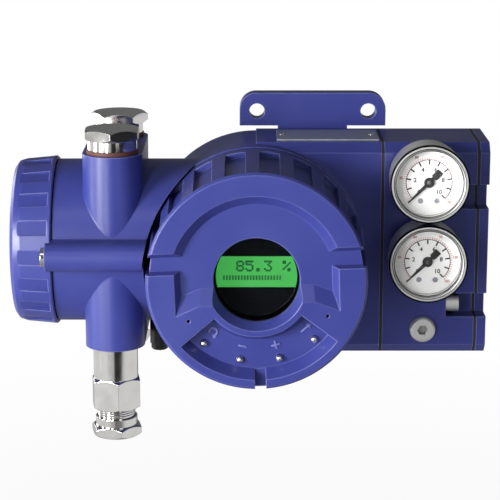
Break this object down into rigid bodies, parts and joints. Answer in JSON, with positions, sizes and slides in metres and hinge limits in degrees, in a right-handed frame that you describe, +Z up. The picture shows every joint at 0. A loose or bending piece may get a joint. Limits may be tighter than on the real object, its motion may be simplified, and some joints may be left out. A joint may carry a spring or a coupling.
{
  "type": "valve positioner",
  "caption": "Electro-pneumatic valve positioner with a screwed windowed front cover, push buttons, pressure gauges, a terminal compartment with cable gland, and a rear feedback shaft.",
  "frame": {"origin": "On the feedback shaft's axis, at the rear mounting face", "axes": "+X to the gauges, +Y out of the rear face, +Z up"},
  "size_m": [0.25, 0.1315, 0.1716],
  "materials": {
    "blue_paint": "satin blue-violet powder coat on cast aluminium",
    "plated_steel": "nickel-plated turned steel",
    "bright_steel": "polished stainless gauge cases and rings",
    "black_rubber": "black sealing rubber",
    "fibre_seal": "red-brown fibre washer",
    "window": "clear toughened glass",
    "gauge_glass": "clear gauge lens",
    "dial_white": "white printed dial",
    "pointer_black": "matt black pointer",
    "display_green": "back-lit green display",
    "black_plastic": "black moulding",
    "board_green": "circuit board",
    "plate_grey": "bare grey metal plate",
    "bush_bronze": "sintered bronze bush",
    "gear_brass": "cut brass gear",
    "sensor_blue": "moulded sensor case"
  },
  "bodies": {
    "housing": {"housing": "blue_paint", "mounting_bracket": "blue_paint", "bracket_screws": "plated_steel", "name_plate": "plate_grey", "name_plate_rivets": "plated_steel", "display_carrier": "black_plastic", "display_panel": "display_green", "carrier_posts": "plated_steel", "main_board": "board_green", "key_switches": "black_plastic", "electronics_module": "black_plastic", "module_posts": "plated_steel", "terminal_block": "black_plastic", "terminal_screws": "plated_steel", "cover_lock_screw": "plated_steel", "entry_plug_front": "plated_steel", "entry_plug_rear": "plated_steel", "entry_plug_lower": "plated_steel", "entry_seals": "fibre_seal", "gland_body": "plated_steel", "gland_seal": "black_rubber", "gland_nut": "plated_steel", "vent_plug": "black_plastic", "manifold_gasket": "black_rubber", "gauge_manifold": "blue_paint", "port_gasket": "black_rubber", "port_plate": "blue_paint", "manifold_bolts": "plated_steel", "spool_bore_plug": "plated_steel", "gauge_port_plug": "plated_steel", "upper_case": "bright_steel", "upper_dial": "dial_white", "upper_lens": "gauge_glass", "upper_ring": "bright_steel", "lower_case": "bright_steel", "lower_dial": "dial_white", "lower_lens": "gauge_glass", "lower_ring": "bright_steel", "shaft_bush": "bush_bronze", "position_sensor": "sensor_blue", "sensor_plate": "plate_grey"},
    "front_cover_ring": {"front_cover_o_ring": "black_rubber"},
    "front_cover": {"front_cover": "blue_paint", "window_glass": "window", "window_seal": "black_rubber", "window_retainer": "plated_steel", "button_guides": "plated_steel"},
    "button_1": {"button_1": "plated_steel"},
    "button_2": {"button_2": "plated_steel"},
    "button_3": {"button_3": "plated_steel"},
    "button_4": {"button_4": "plated_steel"},
    "terminal_cover_ring": {"terminal_cover_o_ring": "black_rubber"},
    "terminal_cover": {"terminal_cover": "blue_paint"},
    "upper_pointer": {"upper_pointer": "pointer_black"},
    "lower_pointer": {"lower_pointer": "pointer_black"},
    "feedback_shaft": {"feedback_shaft": "plated_steel", "shaft_gear": "gear_brass"},
    "sensor_pinion": {"sensor_pinion": "gear_brass"},
    "spool": {"spool": "plated_steel"}
  },
  "joints": [
    {"name": "front_cover_withdraw", "type": "slide", "parent": "housing", "child": "front_cover_ring", "axis": [0, -1, 0], "range_m": [0, 0.0102]},
    {"name": "front_cover_turn", "type": "hinge", "parent": "front_cover_ring", "child": "front_cover", "pos_m": [0, 0, 0], "axis": [0, -1, 0], "range_deg": [0, 1800]},
    {"name": "terminal_cover_withdraw", "type": "slide", "parent": "housing", "child": "terminal_cover_ring", "axis": [-1, 0, 0], "range_m": [0, 0.0102]},
    {"name": "terminal_cover_turn", "type": "hinge", "parent": "terminal_cover_ring", "child": "terminal_cover", "pos_m": [-0.1045, -0.043, 0.006], "axis": [-1, 0, 0], "range_deg": [0, 1800]},
    {"name": "button_1_press", "type": "slide", "parent": "front_cover", "child": "button_1", "axis": [0, 1, 0], "range_m": [0, 0.0015], "stiffness_N_per_m": 300},
    {"name": "button_2_press", "type": "slide", "parent": "front_cover", "child": "button_2", "axis": [0, 1, 0], "range_m": [0, 0.0015], "stiffness_N_per_m": 300},
    {"name": "button_3_press", "type": "slide", "parent": "front_cover", "child": "button_3", "axis": [0, 1, 0], "range_m": [0, 0.0015], "stiffness_N_per_m": 300},
    {"name": "button_4_press", "type": "slide", "parent": "front_cover", "child": "button_4", "axis": [0, 1, 0], "range_m": [0, 0.0015], "stiffness_N_per_m": 300},
    {"name": "upper_pointer_turn", "type": "hinge", "parent": "housing", "child": "upper_pointer", "pos_m": [0.089, -0.06, 0.042], "axis": [0, 1, 0], "range_deg": [0, 270]},
    {"name": "lower_pointer_turn", "type": "hinge", "parent": "housing", "child": "lower_pointer", "pos_m": [0.089, -0.06, 0], "axis": [0, 1, 0], "range_deg": [0, 270]},
    {"name": "feedback_turn", "type": "hinge", "parent": "housing", "child": "feedback_shaft", "pos_m": [0, 0, 0], "axis": [0, 1, 0], "range_deg": [-50, 50]},
    {"name": "pinion_turn", "type": "hinge", "parent": "housing", "child": "sensor_pinion", "pos_m": [0, -0.014, 0.028], "axis": [0, 1, 0], "range_deg": [-151, 151]},
    {"name": "spool_shift", "type": "slide", "parent": "housing", "child": "spool", "axis": [0, 0, 1], "range_m": [-0.0025, 0.0025]}
  ],
  "couplings": [
    {"joint": "front_cover_withdraw", "follows": "front_cover_turn", "m_per_rad": 0.00031831},
    {"joint": "terminal_cover_withdraw", "follows": "terminal_cover_turn", "m_per_rad": 0.00031831},
    {"joint": "pinion_turn", "follows": "feedback_turn", "ratio": -3}
  ]
}
